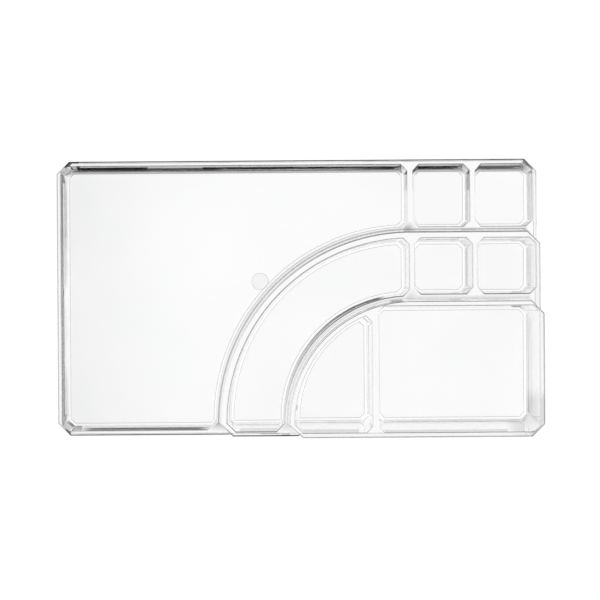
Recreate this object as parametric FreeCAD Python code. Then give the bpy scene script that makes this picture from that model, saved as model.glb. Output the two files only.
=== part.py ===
"""Clear moulded cosmetic organizer: one body with eight open compartments on three tiers.

The body stands on its flat base. +X runs along the long side, towards the square
compartments, +Y runs away from the front and +Z is up. The origin is under the middle
of the body. All lengths are in millimetres and all angles in degrees.
"""

import FreeCAD, Part
import math
import os

# Outside of the body
length = 240.0
width = 137.0
low_height = 30.0
tier_rise = 20.0
corner_chamfer = 6.2

# Walls and floor
floor_thickness = 2.5
rim_width = 2.5
mid_rim_width = 3.5
high_rim_width = 2.3
divider_width = 3.0
ledge_width = 1.5
mid_square_ledge = 2.3

# Slopes that let the body leave its mould
side_draft = 1.0
end_draft = 2.7
tier_draft = 4.0

# Curved tier walls: both share one centre, which stands in from the right side
arc_centre_inset = 64.2
mid_arc_radius = 95.5
high_arc_radius = 61.0
arc_straight_run = 0.3

# Compartments
square_length = 28.2
large_length = 78.3
pocket_chamfer = 3.0
floor_round = 1.3

# Round mark left under the floor where the plastic entered the mould
gate_mark_diameter = 8.8
gate_mark_depth = 0.4
gate_mark_x = -19.0
gate_mark_y = 8.2

# Places that follow from the sizes above
right = length / 2
front = -width / 2
mid_height = low_height + tier_rise
high_height = mid_height + tier_rise
arc_x = right - arc_centre_inset
arc_y = front + corner_chamfer + arc_straight_run
tier_lean = tier_rise * math.tan(math.radians(tier_draft))
mid_foot = arc_y + mid_arc_radius
high_foot = arc_y + high_arc_radius
pocket_left = -right + rim_width
pocket_right = right - rim_width
pocket_front = front + rim_width
pocket_back = -front - rim_width
square_edges = [
    pocket_right - square_length,
    pocket_right - square_length - divider_width,
    pocket_right - 2 * square_length - divider_width,
    pocket_right - 2 * square_length - 2 * divider_width,
]
large_left = pocket_right - large_length
quarter_right = large_left - divider_width


def arc_point(radius, angle):
    """A point on a curved wall, by its radius and its angle from the +X direction."""
    turn = math.radians(angle)
    return (arc_x + radius * math.cos(turn), arc_y + radius * math.sin(turn))


def arc_height(radius, x):
    """How far back a curved wall has come at the place x."""
    return arc_y + math.sqrt(radius**2 - (x - arc_x) ** 2)


def arc_middle(radius, x):
    """The point halfway along a curved wall that runs from its left end to the place x."""
    end = math.degrees(math.acos((x - arc_x) / radius))
    return arc_point(radius, (180 + end) / 2)


def side_edge(start, end, through, level):
    """One side of an outline: straight, or an arc when a point to pass through is given."""
    first = FreeCAD.Vector(start[0], start[1], level)
    last = FreeCAD.Vector(end[0], end[1], level)
    if through is None:
        return Part.makeLine(first, last)
    return Part.Arc(first, FreeCAD.Vector(through[0], through[1], level), last).toShape()


def outline(corners, level):
    """The sides that join the corners in order at one height."""
    following = corners[1:] + corners[:1]
    return [side_edge(a[:2], b[:2], a[2], level) for a, b in zip(corners, following)]


def side_face(lower, upper):
    """The face between a side's lower and upper edge: a plane, or a cone on an arc."""
    a, b = (v.Point for v in lower.Vertexes)
    d, c = (v.Point for v in upper.Vertexes)
    if lower.Curve.TypeId == "Part::GeomLine":
        return Part.Face(Part.makePolygon([a, b, c, d, a]))
    return Part.makeRuledSurface(lower, upper)


def tapered_solid(lower_corners, lower_level, upper_corners, upper_level):
    """A solid between two outlines that have the same sides at two heights."""
    lower = outline(lower_corners, lower_level)
    upper = outline(upper_corners, upper_level)
    faces = [side_face(a, b) for a, b in zip(lower, upper)]
    faces += [Part.Face(Part.Wire(lower)), Part.Face(Part.Wire(upper))]
    shell = Part.Shell(faces)
    shell.sewShape()
    solid = Part.makeSolid(shell)
    if solid.Volume < 0:
        solid.reverse()
    return solid


def box_corners(left, near, far_right, far, cut):
    """A rectangle whose four corners are cut off at 45 degrees."""
    return [
        (left + cut, near, None),
        (far_right - cut, near, None),
        (far_right, near + cut, None),
        (far_right, far - cut, None),
        (far_right - cut, far, None),
        (left + cut, far, None),
        (left, far - cut, None),
        (left, near + cut, None),
    ]


def tier_corners(radius):
    """The outline of a raised tier: flush with the front and right sides, curved behind."""
    cut = corner_chamfer
    back = arc_y + radius
    left = arc_x - radius
    return [
        (left + cut, front, None),
        (right - cut, front, None),
        (right, front + cut, None),
        (right, back - cut, None),
        (right - cut, back, None),
        (arc_x, back, arc_point(radius, 135)),
        (left, arc_y, None),
        (left, front + cut, None),
    ]


def tier(radius, level):
    """A raised tier whose curved and back walls lean inwards as they rise."""
    foot = tier_corners(radius)
    top = tier_corners(radius - tier_lean)
    return tapered_solid(foot, level, top, level + tier_rise)


def outer_body():
    """The low box with the middle and the high tier on top of it."""
    plan = box_corners(-right, front, right, -front, corner_chamfer)
    low = tapered_solid(plan, 0, plan, low_height)
    middle = tier(mid_arc_radius, low_height)
    high = tier(high_arc_radius, mid_height)
    return low.fuse([middle, high]).removeSplitter()


def insets(rim_level):
    """How far a side wall and an end wall come in from the rim down to the floor."""
    depth = rim_level - floor_thickness
    side = depth * math.tan(math.radians(side_draft))
    end = depth * math.tan(math.radians(end_draft))
    return side, end


def pocket(floor_corners, rim_corners, rim_level):
    """What a compartment takes out of the body, with its floor edges rounded."""
    hollow = tapered_solid(floor_corners, floor_thickness, rim_corners, rim_level)
    floor_edges = [e for e in hollow.Edges if e.BoundBox.ZMax < floor_thickness + floor_round]
    return hollow.makeFillet(floor_round, floor_edges)


def box_pocket(left, near, far_right, far, rim_level, near_end, far_end):
    """A compartment with straight sides. The end flags tell which walls are outer ends."""
    side, end = insets(rim_level)
    near_in = end if near_end else side
    far_in = end if far_end else side
    cut = pocket_chamfer
    rim = box_corners(left, near, far_right, far, cut)
    floor = box_corners(
        left + side, near + near_in, far_right - side, far - far_in, cut
    )
    return pocket(floor, rim, rim_level)


def tray_corners(left, near, far_right, far, radius):
    """The low tray: a rectangle that leaves out the middle tier's curved corner."""
    cut = pocket_chamfer
    bend = far_right - cut
    end_cut = arc_y - near
    return [
        (left + cut, near, None),
        (arc_x - radius - end_cut, near, None),
        (arc_x - radius, arc_y, arc_middle(radius, bend)),
        (bend, arc_height(radius, bend), None),
        (far_right, arc_height(radius, bend) + cut, None),
        (far_right, far - cut, None),
        (far_right - cut, far, None),
        (left + cut, far, None),
        (left, far - cut, None),
        (left, near + cut, None),
    ]


def tray_pocket():
    """The large low tray on the left."""
    side, end = insets(low_height)
    radius = mid_arc_radius + ledge_width
    edge = square_edges[3]
    rim = tray_corners(pocket_left, pocket_front, edge, pocket_back, radius)
    floor = tray_corners(
        pocket_left + side, pocket_front + end, edge - side, pocket_back - end, radius + side
    )
    return pocket(floor, rim, low_height)


def curved_corners(near, far_right, outer_radius, inner_radius):
    """The quarter ring between the two curved tier walls."""
    cut = pocket_chamfer
    bend = far_right - cut
    end_cut = arc_y - near
    return [
        (arc_x - outer_radius + end_cut, near, None),
        (arc_x - inner_radius - end_cut, near, None),
        (arc_x - inner_radius, arc_y, arc_middle(inner_radius, bend)),
        (bend, arc_height(inner_radius, bend), None),
        (far_right, arc_height(inner_radius, bend) + cut, None),
        (far_right, arc_height(outer_radius, bend) - cut, None),
        (bend, arc_height(outer_radius, bend), arc_middle(outer_radius, bend)),
        (arc_x - outer_radius, arc_y, None),
    ]


def curved_pocket():
    """The curved compartment of the middle tier."""
    side, end = insets(mid_height)
    outer = mid_arc_radius - tier_lean - mid_rim_width
    inner = high_arc_radius + ledge_width
    edge = square_edges[3]
    rim = curved_corners(pocket_front, edge, outer, inner)
    floor = curved_corners(pocket_front + end, edge - side, outer - side, inner + side)
    return pocket(floor, rim, mid_height)


def quarter_corners(near, far_right, radius):
    """A quarter disc cut off by the divider on its right."""
    cut = pocket_chamfer
    bend = far_right - cut
    end_cut = arc_y - near
    return [
        (arc_x - radius + end_cut, near, None),
        (far_right - cut, near, None),
        (far_right, near + cut, None),
        (far_right, arc_height(radius, bend) - cut, None),
        (bend, arc_height(radius, bend), arc_middle(radius, bend)),
        (arc_x - radius, arc_y, None),
    ]


def quarter_pocket():
    """The quarter-round compartment of the high tier."""
    side, end = insets(high_height)
    radius = high_arc_radius - tier_lean - high_rim_width
    rim = quarter_corners(pocket_front, quarter_right, radius)
    floor = quarter_corners(pocket_front + end, quarter_right - side, radius - side)
    return pocket(floor, rim, high_height)


def large_pocket():
    """The large rectangular compartment of the high tier."""
    far = high_foot - tier_lean - high_rim_width
    return box_pocket(
        large_left, pocket_front, pocket_right, far, high_height, True, False
    )


def square_pockets():
    """Two low squares along the back and two middle squares in front of them."""
    low_near = mid_foot + ledge_width
    mid_near = high_foot + mid_square_ledge
    mid_far = mid_foot - tier_lean - mid_rim_width
    spans = [(square_edges[0], pocket_right), (square_edges[2], square_edges[1])]
    low = [
        box_pocket(a, low_near, b, pocket_back, low_height, False, True) for a, b in spans
    ]
    middle = [
        box_pocket(a, mid_near, b, mid_far, mid_height, False, False) for a, b in spans
    ]
    return low + middle


def gate_mark():
    """The shallow round mark that is sunk into the underside."""
    centre = FreeCAD.Vector(gate_mark_x, gate_mark_y, 0)
    return Part.makeCylinder(gate_mark_diameter / 2, gate_mark_depth, centre)


def organizer():
    """The whole organizer in one piece."""
    hollows = [tray_pocket(), curved_pocket(), quarter_pocket(), large_pocket()]
    hollows += square_pockets() + [gate_mark()]
    return outer_body().cut(hollows)


os.makedirs("parts", exist_ok=True)
organizer().exportStep("parts/organizer_body.step")
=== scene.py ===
import math

import bmesh
import bpy
import numpy as np
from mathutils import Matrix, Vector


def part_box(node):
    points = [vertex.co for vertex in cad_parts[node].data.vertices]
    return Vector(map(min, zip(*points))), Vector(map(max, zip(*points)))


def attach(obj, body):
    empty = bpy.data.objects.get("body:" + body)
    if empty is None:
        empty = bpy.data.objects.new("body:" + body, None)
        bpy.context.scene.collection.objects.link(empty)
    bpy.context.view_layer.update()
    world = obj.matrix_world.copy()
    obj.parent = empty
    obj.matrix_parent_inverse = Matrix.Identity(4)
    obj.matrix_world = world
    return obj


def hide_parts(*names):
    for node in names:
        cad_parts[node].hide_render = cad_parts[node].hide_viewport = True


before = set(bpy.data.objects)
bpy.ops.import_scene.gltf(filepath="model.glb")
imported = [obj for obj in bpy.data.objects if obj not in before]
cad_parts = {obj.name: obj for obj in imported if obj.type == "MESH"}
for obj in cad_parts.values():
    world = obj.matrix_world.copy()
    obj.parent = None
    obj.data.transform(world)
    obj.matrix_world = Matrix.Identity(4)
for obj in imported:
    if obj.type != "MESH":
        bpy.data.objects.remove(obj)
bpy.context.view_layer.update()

# Organizer body: one clear box with eight open compartments on three tiers. It is moulded
# in one shot of clear polystyrene, so each wall leans a little to leave the mould, and
# every rim and floor corner has a small round. Sizes in this section are in millimetres.

box_low, box_high = (1000 * np.array(corner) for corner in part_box("organizer_body"))
left, front = box_low[:2]
right, back, high_rim = box_high
low_rim = 30.0
mid_rim = 50.0
floor_level = 2.5
corner_chamfer = 6.2
rim_width = 2.5
mid_rim_width = 3.5
high_rim_width = 2.3
divider_width = 3.0
ledge_width = 1.5
square_ledge_width = 2.3
side_lean = math.tan(math.radians(1.0))
end_lean = math.tan(math.radians(2.7))
tier_lean = (mid_rim - low_rim) * math.tan(math.radians(4.0))
arc_x = right - 64.2
arc_y = front + 6.5
mid_radius = 95.5
high_radius = 61.0
square_length = 28.2
large_length = 78.3
pocket_chamfer = 3.0
floor_round = 1.3
edge_round = 0.3
base_round = 0.3
flat_strip = 0.02
round_fade = 0.8
mark_x, mark_y = -19.0, 8.2
mark_radius = 4.4
mark_depth = 0.4
mark_rim = 0.5
curve_steps = 72
round_steps = 5

# The rounded edges look dark because they show the dark parts of the room. That is painted
# into the plastic's colour as a painted reflection, and the floor turns, the feet on the
# ledges and the mark's ring get painted shade in the same way. A tone is how dark: at the
# left, right, front and back edges, and added to those at the cut corners. It starts at 0,
# and past 1 it counts as 1. A rim's tone goes on over a line of the flat rim.
line_strip = 0.2
low_line_strip = 0.3
mid_line_strip = 0.4
high_line_strip = 0.01
tray_mouth_painted_reflections = (0.7, 0.15, 0.3, 0.15, 0.15)
low_mouth_painted_reflections = (0.0, 0.35, 0.5, 0.15, 0.8)
mid_mouth_painted_reflections = (0.1, 0.3, 1.0, 0.5, 0.7)
ring_mouth_painted_reflections = (0.5, 0.3, 0.95, 0.5, 0.2)
quarter_mouth_painted_reflections = (0.3, 0.3, 0.8, 0.3, 0.1)
large_mouth_painted_reflections = (0.0, 0.3, 0.9, 0.8, 0.3)
# The floor tones and the turn tones are painted shade where the walls turn into the floors.
floor_painted_shades = (0.6, 0.8, 0.8, 0.75, 0.1)
floor_turn_painted_shades = (0.0, 0.0, 0.06, 0.0, 0.0)
outer_turn_painted_shades = (0.0, 0.0, 0.06, 0.95, 0.1)
turn_shares = (1.0, 0.9, 0.5, 0.5)
low_rim_painted_reflections = (0.2, 0.1, 1.0, 1.15, 0.2)
mid_rim_painted_reflections = (0.1, 0.3, 1.0, 0.75, 0.0)
high_rim_painted_reflections = (0.1, 0.4, 0.5, 1.0, 0.2)
# The foot tones are painted shade where a higher wall stands on a ledge.
mid_foot_painted_shade = 0.7
high_foot_painted_shade = 0.3
foot_fade = 1.0
# Painted shade over the mark and at its ring.
mark_painted_shade = 0.07
mark_rim_painted_shade = 0.35

# A corner where an outline turns by 45 degrees moves along its side by this share of the
# way that both its sides move in.
mitre = math.tan(math.radians(22.5))
quarter_turn = np.linspace(0.0, math.pi / 2, round_steps + 1)
inner_left, inner_right = left + rim_width, right - rim_width
inner_front, inner_back = front + rim_width, back - rim_width

# The side walls of the small squares, from the right one's left wall to the left.
square_edges = [
    inner_right - square_length,
    inner_right - square_length - divider_width,
    inner_right - 2 * square_length - divider_width,
    inner_right - 2 * square_length - 2 * divider_width,
]
large_left = inner_right - large_length


def walk(corners):
    """The points of an outline, for every row of its corners at once.

    A straight side gives its first corner. A curved side turns about the centre that the
    tiers share, in equal steps from its first corner to its last.
    """
    points = []
    for (x, y, curved), (x_next, y_next, _) in zip(corners, corners[1:] + corners[:1]):
        if not curved:
            points.append(np.stack([x, y], -1)[:, None])
            continue
        start = np.arctan2(y - arc_y, x - arc_x)
        end = np.arctan2(y_next - arc_y, x_next - arc_x)
        step = np.linspace(0.0, 1.0, curve_steps, endpoint=False)
        turn = start[:, None] + (end - start)[:, None] * step
        reach = np.hypot(x - arc_x, y - arc_y)[:, None]
        curve = [arc_x + reach * np.cos(turn), arc_y + reach * np.sin(turn)]
        points.append(np.stack(curve, -1))
    return np.concatenate(points, 1)


def curve_back(radius, x):
    """How far back a curved wall has come at x: the height of its circle there."""
    return arc_y + np.sqrt(radius**2 - (x - arc_x) ** 2)


def curve_foot(radius, y0):
    """The two corners where a curved wall meets the front: a 45 degree cut below the shared
    centre's height, which has shrunk to nothing where the front edge lies above it."""
    start = np.maximum(y0, arc_y)
    x = arc_x - np.sqrt(radius**2 - (start - arc_y) ** 2)
    return x, start, np.maximum(arc_y - y0, 0)


def box_outline(x0, y0, x1, y1, cut):
    """A rectangle with its four corners cut off at 45 degrees."""
    return [
        (x0 + cut, y0, False),
        (x1 - cut, y0, False),
        (x1, y0 + cut, False),
        (x1, y1 - cut, False),
        (x1 - cut, y1, False),
        (x0 + cut, y1, False),
        (x0, y1 - cut, False),
        (x0, y0 + cut, False),
    ]


def tray_outline(x0, y0, x1, y1, radius, cut):
    """The low tray: a rectangle that leaves out the middle tier's curved corner."""
    bend = x1 - cut
    x_curve, start, front_cut = curve_foot(radius, y0)
    return [
        (x0 + cut, y0, False),
        (x_curve - front_cut, y0, False),
        (x_curve, start, True),
        (bend, curve_back(radius, bend), False),
        (x1, curve_back(radius, bend) + cut, False),
        (x1, y1 - cut, False),
        (x1 - cut, y1, False),
        (x0 + cut, y1, False),
        (x0, y1 - cut, False),
        (x0, y0 + cut, False),
    ]


def ring_outline(y0, x1, outer, inner, cut):
    """The quarter ring between the two curved tier walls."""
    bend = x1 - cut
    x_outer, start, outer_cut = curve_foot(outer, y0)
    x_inner, start, inner_cut = curve_foot(inner, y0)
    return [
        (x_outer + outer_cut, y0, False),
        (x_inner - inner_cut, y0, False),
        (x_inner, start, True),
        (bend, curve_back(inner, bend), False),
        (x1, curve_back(inner, bend) + cut, False),
        (x1, curve_back(outer, bend) - cut, False),
        (bend, curve_back(outer, bend), True),
        (x_outer, start, False),
    ]


def quarter_outline(y0, x1, radius, cut):
    """A quarter disc that the divider on its right cuts off."""
    bend = x1 - cut
    x0, start, front_cut = curve_foot(radius, y0)
    return [
        (x0 + front_cut, y0, False),
        (x1 - cut, y0, False),
        (x1, y0 + cut, False),
        (x1, curve_back(radius, bend) - cut, False),
        (bend, curve_back(radius, bend), True),
        (x0, start, False),
    ]


def painted_edge_tone(outward, tones):
    """How dark an edge is painted, as painted reflection over the rims and painted shade in the
    turns: the tones of the left, right, front and back edges, shared out by the squares of
    the two parts of the way out of the body or the compartment. The last tone comes on top
    of them at a corner, most where the way out is at 45 degrees."""
    x, y = np.moveaxis(outward / np.linalg.norm(outward, axis=-1, keepdims=True), -1, 0)
    left_tone, right_tone, front_tone, back_tone, corner_tone = tones
    across = x**2 * np.where(x < 0, left_tone, right_tone)
    along = y**2 * np.where(y < 0, front_tone, back_tone)
    return across + along + 4 * (x * y) ** 2 * corner_tone


def compartment(rim, outline, mouth_painted_reflections, line=line_strip, turn_painted_shades=floor_turn_painted_shades):
    """The inside of a compartment, in rows from the rim down to the floor.

    The profile starts with a flat strip as wide as line, turns over the rim's edge, follows
    the leaning wall down, turns into the floor and ends with another flat strip. Each row
    is the outline, moved in by the wall's lean plus the turn's own offset, and its cut
    corners shorten as much as a parallel line needs. The fourth number of each point is its
    tone, which is painted darkness: the mouth tones, a painted reflection, over the rim's
    edge, and painted shade from the turn tones by their shares down the last turn and from
    the floor tones where it ends. The way out at a point is square to the line between its
    two neighbours.
    """
    turn_in = np.concatenate(
        [
            [-edge_round - line - flat_strip, -edge_round - line],
            edge_round * (np.sin(quarter_turn) - 1),
            floor_round * (1 - np.cos(quarter_turn)),
            [floor_round + flat_strip],
        ]
    )
    level = np.concatenate(
        [
            [rim, rim],
            rim - edge_round * (1 - np.cos(quarter_turn)),
            floor_level + floor_round * (1 - np.sin(quarter_turn)),
            [floor_level],
        ]
    )
    side = (rim - level) * side_lean + turn_in
    end = (rim - level) * end_lean + turn_in
    shortening = 2 * (1 - math.sqrt(0.5))
    cut = pocket_chamfer - shortening * turn_in
    plan = walk(outline(side, end, cut))
    along = np.roll(plan[0], -1, 0) - np.roll(plan[0], 1, 0)
    outward = along[:, ::-1] * [1, -1]
    at_mouth = np.zeros(len(level))
    at_mouth[1 : round_steps + 2] = 1.0
    at_turn = np.zeros(len(level))
    at_turn[-round_steps - 1 : -2] = turn_shares
    at_floor = np.zeros(len(level))
    at_floor[-2] = 1.0
    tone = at_mouth[:, None] * painted_edge_tone(outward, mouth_painted_reflections)
    tone = tone + at_turn[:, None] * painted_edge_tone(outward, turn_painted_shades)
    tone = tone + at_floor[:, None] * painted_edge_tone(outward, floor_painted_shades)
    high = np.broadcast_to(level[:, None], tone.shape)
    return np.concatenate([plan, np.stack([high, np.minimum(tone, 1.0)], -1)], -1)


def low_square(x0, x1):
    """One of the two low squares, between the middle tier and the back wall."""
    near = arc_y + mid_radius + ledge_width
    return compartment(
        low_rim,
        lambda s, e, c: box_outline(x0 + s, near + s, x1 - s, inner_back - e, c),
        low_mouth_painted_reflections,
        turn_painted_shades=outer_turn_painted_shades,
    )


def mid_square(x0, x1):
    """One of the two middle squares, between the high tier and the middle tier's wall."""
    near = arc_y + high_radius + square_ledge_width
    far = arc_y + mid_radius - tier_lean - mid_rim_width
    return compartment(
        mid_rim,
        lambda s, e, c: box_outline(x0 + s, near + s, x1 - s, far - s, c),
        mid_mouth_painted_reflections,
    )


tray_radius = mid_radius + ledge_width
ring_outer = mid_radius - tier_lean - mid_rim_width
ring_inner = high_radius + ledge_width
quarter_radius = high_radius - tier_lean - high_rim_width
quarter_right = large_left - divider_width
compartments = [
    compartment(
        low_rim,
        lambda s, e, c: tray_outline(
            inner_left + s, inner_front + e, square_edges[3] - s, inner_back - e,
            tray_radius + s, c,
        ),
        tray_mouth_painted_reflections,
        turn_painted_shades=outer_turn_painted_shades,
    ),
    compartment(
        mid_rim,
        lambda s, e, c: ring_outline(
            inner_front + e, square_edges[3] - s, ring_outer - s, ring_inner + s, c
        ),
        ring_mouth_painted_reflections,
    ),
    compartment(
        high_rim,
        lambda s, e, c: quarter_outline(
            inner_front + e, quarter_right - s, quarter_radius - s, c
        ),
        quarter_mouth_painted_reflections,
        high_line_strip,
    ),
    compartment(
        high_rim,
        lambda s, e, c: box_outline(
            large_left + s, inner_front + e, inner_right - s,
            arc_y + quarter_radius - s, c,
        ),
        large_mouth_painted_reflections,
        high_line_strip,
    ),
    low_square(square_edges[0], inner_right),
    low_square(square_edges[2], square_edges[1]),
    mid_square(square_edges[0], inner_right),
    mid_square(square_edges[2], square_edges[1]),
]


def outer_wall(
    foot, top, inward, foot_level, top_level, rounds, tones, foot_painted_shades, line, foot_round=0.0
):
    """An outer wall in rows from its foot to its rim.

    Each column goes straight from the foot outline to the top outline, turns in over the
    rim by a quarter circle of its own radius and ends with a flat strip as wide as line. The
    radius is zero where the wall above goes on. At the base there may be a quarter circle.
    The fourth number of each point is its tone, which is painted darkness: painted shade from
    the foot tones at the foot, where the wall stands on a ledge, and a painted reflection
    from the tones over the rim's edge.
    """
    rise = top_level - foot_level
    ones = np.ones_like(rounds)
    turn = quarter_turn[:, None]
    below = foot_level + foot_round * (1 - np.cos(turn)) * ones
    under = foot_round * (1 - np.sin(turn)) * ones
    above = top_level - rounds * (1 - np.sin(turn))
    over = rounds * (1 - np.cos(turn))
    dark = (rounds > 0) * line
    flat = (rounds > 0) * (line + flat_strip)
    clear = (foot_level + foot_round + foot_fade) * ones[None]
    rim = top_level * ones[None]
    level = np.concatenate([below, clear, above, rim, rim])
    offset = np.concatenate([under, 0 * ones[None], over, [rounds + dark, rounds + flat]])
    share = ((level - foot_level) / rise)[..., None]
    plan = foot + (top - foot) * share + inward * offset[..., None]
    at_foot = np.zeros(len(level))
    at_foot[: round_steps + 1] = 1.0
    at_rim = np.zeros(len(level))
    at_rim[round_steps + 3 : -1] = 1.0
    tone = at_foot[:, None] * foot_painted_shades
    tone = tone + at_rim[:, None] * painted_edge_tone(-inward, tones) * (rounds > 0)
    return np.concatenate([plan, level[..., None], np.minimum(tone, 1.0)[..., None]], -1)


def tier_columns(radius, flush):
    """The outline of a raised tier and the way in from each of its points.

    It follows the front and the right side, cuts its corners at 45 degrees and comes back
    round its curved wall. The points in flush lie on the front or the right side.
    """
    cut = corner_chamfer
    tier_left, tier_back = arc_x - radius, arc_y + radius
    turn = np.linspace(math.pi / 2, math.pi, curve_steps + 1)
    curve = np.stack([arc_x + radius * np.cos(turn), arc_y + radius * np.sin(turn)], -1)
    curve_in = -np.stack([np.cos(turn), np.sin(turn)], -1)
    points = [[tier_left + cut, front]] + flush
    points += [[right, tier_back - cut], [right - cut, tier_back]]
    ways = [[mitre, 1]] + [flush_way(x, y) for x, y in flush]
    ways += [[-1, -mitre], [-mitre, -1]]
    points = np.concatenate([points, curve, [[tier_left, front + cut]]])
    return points, np.concatenate([ways, curve_in, [[1, mitre]]])


def flush_way(x, y):
    """The way in from a point on the front or the right side, mitred at the cut corner."""
    if y == front:
        return [-mitre, 1] if x == right - corner_chamfer else [0, 1]
    return [-1, mitre] if y == front + corner_chamfer else [-1, 0]


cut = corner_chamfer
near_right = [[right - cut, front], [right, front + cut]]

# A higher tier stands flush on a lower one between two of these points. The lower rim has
# no round there, and has its full round again from round_fade beyond them.
mid_from = [arc_x - mid_radius + cut, front]
mid_to = [right, arc_y + mid_radius - cut]
high_from = [arc_x - high_radius + cut, front]
high_to = [right, arc_y + high_radius - cut]
mid_before = [mid_from[0] - round_fade, front]
mid_after = [right, mid_to[1] + round_fade]
high_before = [high_from[0] - round_fade, front]
high_after = [right, high_to[1] + round_fade]

mid_flush = [high_before, high_from] + near_right + [high_to, high_after]
low_points = [[left + cut, front], mid_before, mid_from] + mid_flush + [mid_to, mid_after]
low_ways = [[mitre, 1], [0, 1], [0, 1]] + [flush_way(x, y) for x, y in mid_flush]
low_ways += [[-1, 0], [-1, 0]]
low_points += [
    [right, back - cut], [right - cut, back], [left + cut, back], [left, back - cut],
    [left, front + cut],
]
low_ways += [[-1, -mitre], [-mitre, -1], [mitre, -1], [1, -mitre], [1, mitre]]
low_points, low_ways = np.array(low_points), np.array(low_ways, float)
low_rounds = np.full(len(low_points), edge_round)
low_rounds[2 : 4 + len(mid_flush)] = 0.0
low_wall = outer_wall(
    low_points, low_points, low_ways, 0.0, low_rim, low_rounds, low_rim_painted_reflections, 0.0,
    low_line_strip, base_round,
)

mid_foot, _ = tier_columns(mid_radius, mid_flush)
mid_top, mid_ways = tier_columns(mid_radius - tier_lean, mid_flush)
mid_rounds = np.full(len(mid_foot), edge_round)
mid_rounds[2 : len(mid_flush)] = 0.0
mid_on_ledge = np.arange(len(mid_foot)) > len(mid_flush) + 1
mid_wall = outer_wall(
    mid_foot, mid_top, mid_ways, low_rim, mid_rim, mid_rounds, mid_rim_painted_reflections,
    mid_foot_painted_shade * mid_on_ledge, mid_line_strip,
)

high_foot, _ = tier_columns(high_radius, near_right)
high_top, high_ways = tier_columns(high_radius - tier_lean, near_right)
high_rounds = np.full(len(high_foot), edge_round)
high_on_ledge = np.arange(len(high_foot)) > len(near_right) + 1
high_wall = outer_wall(
    high_foot, high_top, high_ways, mid_rim, high_rim, high_rounds, high_rim_painted_reflections,
    high_foot_painted_shade * high_on_ledge, np.where(high_on_ledge, high_line_strip, low_line_strip),
)

# The mark under the body, where the plastic entered the mould, is a shallow round recess
# with a darker ring at its edge, which is painted shade, and faint painted shade over it.
turn = np.linspace(0.0, 2 * math.pi, curve_steps, endpoint=False)
mark_reach = mark_radius + np.array([flat_strip, 0.0, 0.0, -mark_rim])[:, None]
mark_wall = np.empty((4, curve_steps, 4))
mark_wall[..., 0] = mark_x + mark_reach * np.cos(turn)
mark_wall[..., 1] = mark_y + mark_reach * np.sin(turn)
mark_wall[..., 2] = [[0.0], [0.0], [mark_depth], [mark_depth]]
mark_wall[..., 3] = [[0.0], [mark_rim_painted_shade], [mark_rim_painted_shade], [mark_painted_shade]]


def ring_faces(rows, first, filled):
    """The faces of one grid of rings: each point, its neighbour and the two above them.

    The points are numbered on from first, and the last ring is filled where it is a floor.
    """
    index = first + np.arange(rows.shape[0] * rows.shape[1]).reshape(rows.shape[:2])
    beside = np.roll(index, -1, axis=1)
    quads = np.stack([index[:-1], beside[:-1], beside[1:], index[1:]], -1)
    return quads.reshape(-1, 4).tolist() + ([index[-1].tolist()] if filled else [])


grids = [(rows, True) for rows in compartments + [mark_wall]]
grids += [(rows, False) for rows in (low_wall, mid_wall, high_wall)]
body_points = np.concatenate([rows.reshape(-1, 4) for rows, _ in grids])
first = np.cumsum([0] + [rows[..., 0].size for rows, _ in grids])
body_faces = sum((ring_faces(r, n, f) for (r, f), n in zip(grids, first)), [])
shell = bpy.data.meshes.new("clear_organizer")
shell.from_pydata(body_points[:, :3], [], body_faces)

# The tones are painted reflection and painted shade, carried into the plastic's colour.
# Each crossing of the plastic's face dims light by the square root of its colour, so the
# light that a tone lets through is squared here.
painted_edge_dark = shell.attributes.new("painted_edge_dark", "FLOAT", "POINT")
painted_edge_dark.data.foreach_set("value", (1 - (1 - body_points[:, 3]) ** 2).astype(np.float32))

# The flat rims and the underside are what lies between the rings that are still open. They
# are filled while the mesh is in millimetres, and then it shrinks to metres.
touching = 1e-3
crease = math.radians(32)
sewn = bmesh.new()
sewn.from_mesh(shell)
bmesh.ops.remove_doubles(sewn, verts=sewn.verts, dist=touching)
for level in (0.0, low_rim, mid_rim, high_rim):
    rings = [
        e for e in sewn.edges
        if e.is_boundary and all(abs(v.co.z - level) < touching for v in e.verts)
    ]
    bmesh.ops.triangle_fill(sewn, edges=rings, use_beauty=True, normal=(0, 0, 1))
bmesh.ops.recalc_face_normals(sewn, faces=sewn.faces)
bmesh.ops.scale(sewn, vec=(0.001, 0.001, 0.001), verts=sewn.verts)
sewn.to_mesh(shell)
sewn.free()
shell.shade_smooth()
shell.set_sharp_from_angle(angle=crease)
organizer = bpy.data.objects.new("clear_organizer", shell)
bpy.context.scene.collection.objects.link(organizer)
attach(organizer, "root")
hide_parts("organizer_body")

flat_first = organizer.modifiers.new("flat_faces_stay_flat", "WEIGHTED_NORMAL")
flat_first.keep_sharp = True

# The plastic is clear and glossy. Its colour is all but white, with an uneven gloss, and the
# faint ripple is how the melt froze against the mould. Its edges are as dark as their
# tones: painted reflection and painted shade mixed into its colour.
clear_colours = ((0.97, 0.975, 0.975, 1), (1.0, 1.0, 1.0, 1))
painted_edge_colour = (0.004, 0.004, 0.004, 1)
blotch_range = (0.3, 0.7)
least_painted_edge_share = 0.96
most_roughness = 0.03
ripple_height = 0.00003
ripple_strength = 0.6
plastic = bpy.data.materials.new("clear_polystyrene")
plastic.use_nodes = True
shell.materials.append(plastic)
nodes, links = plastic.node_tree.nodes, plastic.node_tree.links
surface = nodes["Principled BSDF"]
surface.inputs["IOR"].default_value = 1.52
surface.inputs["Transmission Weight"].default_value = 1.0
surface.inputs["Metallic"].default_value = 0.0
place = nodes.new("ShaderNodeTexCoord").outputs["Object"]


def node(kind, **settings):
    """A new shader node with its plain settings."""
    made = nodes.new(kind)
    for name, value in settings.items():
        setattr(made, name, value)
    return made


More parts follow.
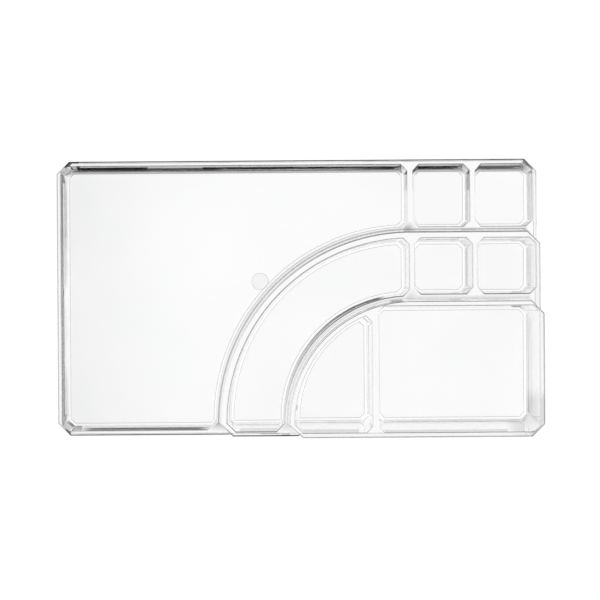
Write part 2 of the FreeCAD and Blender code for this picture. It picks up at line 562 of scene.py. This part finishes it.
def feed(socket, value):
    """Sets a socket to a number or a colour, or links it to another node's output."""
    if isinstance(value, bpy.types.NodeSocket):
        links.new(value, socket)
    else:
        socket.default_value = value


def math_node(operation, a, b):
    """One arithmetic step on two values, each an output or a number."""
    step = node("ShaderNodeMath", operation=operation)
    feed(step.inputs[0], a)
    feed(step.inputs[1], b)
    return step.outputs[0]


def mixed(share, a, b, kind="FLOAT"):
    """A value or a colour that goes from a to b while share goes from 0 to 1."""
    mix = node("ShaderNodeMix", data_type=kind)
    for name, value in (("Factor", share), ("A", a), ("B", b)):
        feed(mix.inputs[name], value)
    return mix.outputs["Result"]


def stretched(value, low, high, to_low, to_high, kind="SMOOTHSTEP"):
    """A value that runs from to_low to to_high while its source runs from low to high."""
    ramp = node("ShaderNodeMapRange", interpolation_type=kind)
    feed(ramp.inputs["Value"], value)
    names = ("From Min", "From Max", "To Min", "To Max")
    for name, number in zip(names, (low, high, to_low, to_high)):
        feed(ramp.inputs[name], number)
    return ramp.outputs["Result"]


def noise(scale, detail):
    """Smooth random blotches in the body's own coordinates, scale of them to the metre."""
    blotches = node("ShaderNodeTexNoise")
    feed(blotches.inputs["Scale"], scale)
    feed(blotches.inputs["Detail"], detail)
    feed(blotches.inputs["Vector"], place)
    return blotches.outputs["Fac"]


def between(value, low, high):
    """Blotches, stretched evenly to run from low to high."""
    return stretched(value, *blotch_range, low, high, "LINEAR")


tint = mixed(between(noise(22.0, 2.0), 0.0, 1.0), *clear_colours, "RGBA")
# The edges' painted reflection and painted shade, read from the body's points.
edge = node("ShaderNodeAttribute", attribute_name="painted_edge_dark").outputs["Fac"]
painted_edge_share = math_node("MULTIPLY", edge, between(noise(90.0, 2.0), least_painted_edge_share, 1.0))
feed(surface.inputs["Base Color"], mixed(painted_edge_share, tint, painted_edge_colour, "RGBA"))
feed(surface.inputs["Roughness"], between(noise(60.0, 3.0), 0.0, most_roughness))
ripple = node("ShaderNodeBump")
feed(ripple.inputs["Distance"], ripple_height)
feed(ripple.inputs["Strength"], ripple_strength)
feed(ripple.inputs["Height"], noise(120.0, 1.5))
feed(surface.inputs["Normal"], ripple.outputs["Normal"])

# Table: a plain pale top, much wider than the view. Seen straight on or through the
# plastic it is white with a faint shadow. Where the plastic's faces mirror it, it has
# painted dark patches, which are painted reflections of a dark room.
table_half = 3.0
table_top = -0.0002
straight_glow = 0.94
plain_shade = 0.8
straight_dimming = 0.64
mirror_dimming = 0.15
table_mesh = bpy.data.meshes.new("table_top")
table_mesh.from_pydata(
    [(x * table_half, y * table_half, table_top) for x, y in ((-1, -1), (1, -1), (1, 1), (-1, 1))],
    [],
    [(0, 1, 2, 3)],
)
table = bpy.data.objects.new("table_top", table_mesh)
bpy.context.scene.collection.objects.link(table)
pale = bpy.data.materials.new("pale_table")
pale.use_nodes = True
table_mesh.materials.append(pale)
nodes, links = pale.node_tree.nodes, pale.node_tree.links
nodes.clear()


def straight_sight(path):
    """1 for what the camera sees straight on or through the plastic, without a mirror."""
    bounces = math_node("ADD", path["Glossy Depth"], path["Diffuse Depth"])
    seen = math_node("MAXIMUM", path["Is Camera Ray"], path["Is Transmission Ray"])
    return math_node("MULTIPLY", math_node("LESS_THAN", bounces, 0.5), seen)


def mirrored_sight(path):
    """1 for what the camera sees by way of at least one mirroring face."""
    in_mirror = math_node("GREATER_THAN", path["Glossy Depth"], 0.5)
    return math_node("MULTIPLY", in_mirror, math_node("LESS_THAN", path["Diffuse Depth"], 0.5))


def strip(value, low, high, soft):
    """1 while a value lies between low and high, fading over soft at both ends."""
    rise = stretched(value, low - soft, low + soft, 0.0, 1.0)
    return math_node("MULTIPLY", rise, stretched(value, high - soft, high + soft, 1.0, 0.0))


def painted_reflection_patch(x0, x1, y0, y1, depth, soft=0.2, soft_ends=0.2):
    """A painted reflection: a dark patch of the table where it is mirrored, as deep as depth.
    All places are in mm, and so is how softly the patch starts and ends: soft along Y,
    soft_ends along X."""
    across = strip(spot_x, x0 / 1000, x1 / 1000, soft_ends / 1000)
    along = strip(spot_y, y0 / 1000, y1 / 1000, soft / 1000)
    return math_node("MULTIPLY", math_node("MULTIPLY", across, along), depth)


def deepest_painted_reflection(patches):
    """The deepest of several patches at each place."""
    deepest = patches[0]
    for other in patches[1:]:
        deepest = math_node("MAXIMUM", deepest, other)
    return deepest


path = node("ShaderNodeLightPath").outputs
straight = straight_sight(path)
mirrored = mirrored_sight(path)
spot = node("ShaderNodeSeparateXYZ")
feed(spot.inputs[0], node("ShaderNodeTexCoord").outputs["Object"])
spot_x, spot_y = spot.outputs["X"], spot.outputs["Y"]

# A painted dark reflection runs along the foot of the high tier's curved wall, on the table
# where it is mirrored. It grows towards the back and ends where the wall meets the squares.
from_x = math_node("SUBTRACT", spot_x, arc_x / 1000)
from_y = math_node("SUBTRACT", spot_y, arc_y / 1000)
square_x = math_node("MULTIPLY", from_x, from_x)
square_y = math_node("MULTIPLY", from_y, from_y)
from_centre = math_node("POWER", math_node("ADD", square_x, square_y), 0.5)
band_inside, band_outside, band_soft = 0.0602, 0.0645, 0.0004
least_band_share = 0.15
painted_curve_reflection = strip(from_centre, band_inside, band_outside, band_soft)
growing = stretched(spot_x, -0.02, 0.03, least_band_share, 1.0)
painted_curve_reflection = math_node("MULTIPLY", painted_curve_reflection, growing)
ending = stretched(spot_x, 0.04, 0.046, 1.0, 0.0)
painted_curve_reflection = math_node("MULTIPLY", painted_curve_reflection, ending)

# Painted reflections: what is mirrored once is dark in patches along the back wall, the
# front wall, the small squares with the ends of the steps, the large compartment's corner
# and the left wall.
painted_once_reflection = deepest_painted_reflection([
    painted_curve_reflection,
    painted_reflection_patch(-115.8, -110.5, 59, 70, 0.9, 0.4, 0.4),
    painted_reflection_patch(-113, -76, 62.3, 67.5, 1.0),
    painted_reflection_patch(-76, -48, 62.7, 67.5, 0.85),
    painted_reflection_patch(-48, 0, 62.5, 67.5, 1.0),
    painted_reflection_patch(0, 82, 62.6, 67.5, 1.0),
    painted_reflection_patch(82, 125, 62.6, 67.5, 0.75),
    painted_reflection_patch(-116, -110.5, -67, -59, 0.8, 0.4, 0.4),
    painted_reflection_patch(-109, -47, -63.2, -60.5, 1.0, 0.3, 5.0),
    painted_reflection_patch(-19, -9, -70.6, -68.1, 0.8, 0.3, 2.0),
    painted_reflection_patch(-30, -10, -60.6, -58.0, 0.35, 0.3, 0.3),
    painted_reflection_patch(-1, 31, -57.8, -55.0, 0.4, 0.3, 0.3),
    painted_reflection_patch(44, 107, -57.2, -55.0, 0.4, 0.3, 0.3),
    painted_reflection_patch(79, 86.5, 30, 66, 0.25, 1.0, 1.0),
    painted_reflection_patch(79, 86.5, -1, 30, 0.12, 1.0, 1.0),
    painted_reflection_patch(109, 117, 30, 66, 0.2, 1.0, 1.0),
    painted_reflection_patch(109.5, 117, 29, 36, 0.9, 1.5, 0.5),
    painted_reflection_patch(109.5, 117, -6, 1.5, 0.9, 1.5, 0.5),
    painted_reflection_patch(109, 117, -1, 30, 0.1, 1.0, 1.0),
    painted_reflection_patch(109, 118, -66, -50, 0.35, 4.0, 4.0),
    painted_reflection_patch(-114.5, -112.2, 5, 60, 1.0, 0.3, 0.3),
    painted_reflection_patch(-114.9, -112.7, -60, 5, 1.0, 0.3, 0.3),
])

# Painted reflections: what is mirrored again is dark from the back wall backwards, at the
# tray's back left, along the tray's front and behind the large compartment.
painted_again_reflection = deepest_painted_reflection([
    painted_reflection_patch(-112, 116, 54, 200, 1.0),
    painted_reflection_patch(-118, -80, 27, 60, 0.6, 8.0, 3.0),
    painted_reflection_patch(-109, -46, -68.4, -65.2, 0.95, 0.2, 4.0),
    painted_reflection_patch(47, 62, -6, -1.5, 0.95, 1.0, 1.5),
    painted_reflection_patch(62, 107, -6, -1.5, 0.4, 1.0, 1.0),
    painted_reflection_patch(77, 91, -6, -1.5, 0.85, 1.0, 1.5),
])
once = math_node("SUBTRACT", 1.0, painted_once_reflection)
again = math_node("SUBTRACT", 1.0, painted_again_reflection)
twice = math_node("GREATER_THAN", path["Glossy Depth"], 1.5)
mirror_glow = math_node("MULTIPLY", mirrored, mixed(twice, once, again))

# The glow alone makes the table white in the picture, and a little greyer through the left
# of the tray, which is painted shade. Under the glow the table takes light and shadow as a
# pale surface does.
left_painted_shade, through_gain = -0.03, 0.07
through_glow = stretched(spot_x, -0.13, -0.04, left_painted_shade, through_gain)
through = math_node("MULTIPLY", path["Is Transmission Ray"], through_glow)
seen_glow = math_node("MULTIPLY", straight, math_node("ADD", straight_glow, through))
glow = node("ShaderNodeEmission")
feed(glow.inputs["Strength"], math_node("ADD", seen_glow, mirror_glow))
dimming = math_node("MULTIPLY", math_node("MAXIMUM", straight, mirrored), straight_dimming)
shade_share = math_node("SUBTRACT", plain_shade, dimming)
dimming = math_node("MULTIPLY", mirrored, mirror_dimming)
shade_share = math_node("SUBTRACT", shade_share, dimming)
grey = node("ShaderNodeCombineColor")
for channel in ("Red", "Green", "Blue"):
    feed(grey.inputs[channel], shade_share)
shade = node("ShaderNodeBsdfDiffuse")
feed(shade.inputs["Color"], grey.outputs[0])
both = node("ShaderNodeAddShader")
feed(both.inputs[0], shade.outputs[0])
feed(both.inputs[1], glow.outputs[0])
feed(node("ShaderNodeOutputMaterial").inputs["Surface"], both.outputs[0])
pale.cycles.emission_sampling = "NONE"

# Light: a soft sky over the table, bright on the left, the right and behind like three wide
# lamps, and dark in front, overhead and at the horizon. The camera sees plain white instead.
room_level = 0.12
side_level = 1.5
back_level = 1.2
horizon_share = 0.03
overhead_share = 0.05
seen_level = 1.0
sky = bpy.data.worlds.new("soft_sky")
bpy.context.scene.world = sky
sky.use_nodes = True
nodes, links = sky.node_tree.nodes, sky.node_tree.links
nodes.clear()
way = node("ShaderNodeSeparateXYZ")
feed(way.inputs[0], node("ShaderNodeTexCoord").outputs["Generated"])
sideways = math_node("ABSOLUTE", way.outputs["X"], 0.0)
side_lamps = stretched(sideways, 0.1, 0.4, room_level, side_level)
back_lamp = stretched(way.outputs["Y"], 0.0, 0.3, 0.0, back_level)
lamps = math_node("MAXIMUM", side_lamps, back_lamp)
above_horizon = stretched(way.outputs["Z"], 0.15, 0.45, horizon_share, 1.0)
lamps = math_node("MULTIPLY", lamps, above_horizon)
below_top = stretched(way.outputs["Z"], 0.93, 0.985, 1.0, overhead_share)
lamps = math_node("MULTIPLY", lamps, below_top)
straight = straight_sight(node("ShaderNodeLightPath").outputs)
background = node("ShaderNodeBackground")
feed(background.inputs["Strength"], mixed(straight, lamps, seen_level))
feed(node("ShaderNodeOutputWorld").inputs["Surface"], background.outputs[0])

# Camera: straight above, 1.38 m up, with the body turned 0.4 degrees in the view. Its lens
# is as long as focal_pixels would be on a sensor of picture_pixels.
camera_height = 1.38
roll = math.radians(0.4)
aim_x, aim_y = 0.00135, -0.0004
picture_pixels = 600
focal_pixels = 2700
shift_pixels = -2
lens = bpy.data.cameras.new("overhead")
lens.sensor_width = 36.0
lens.lens = lens.sensor_width * focal_pixels / picture_pixels
lens.shift_y = shift_pixels / picture_pixels
lens.clip_start, lens.clip_end = 0.05, 20.0
camera = bpy.data.objects.new("overhead", lens)
bpy.context.scene.collection.objects.link(camera)
camera.location = (
    aim_x * math.cos(roll) + aim_y * math.sin(roll),
    aim_y * math.cos(roll) - aim_x * math.sin(roll),
    camera_height,
)
camera.rotation_euler = (0.0, 0.0, -roll)
bpy.context.scene.camera = camera

bpy.context.scene.view_settings.view_transform = "Standard"

# Light passes many faces of clear plastic before it is lost.
bpy.context.scene.cycles.max_bounces = 64
bpy.context.scene.cycles.transmission_bounces = 32
bpy.context.scene.cycles.glossy_bounces = 64
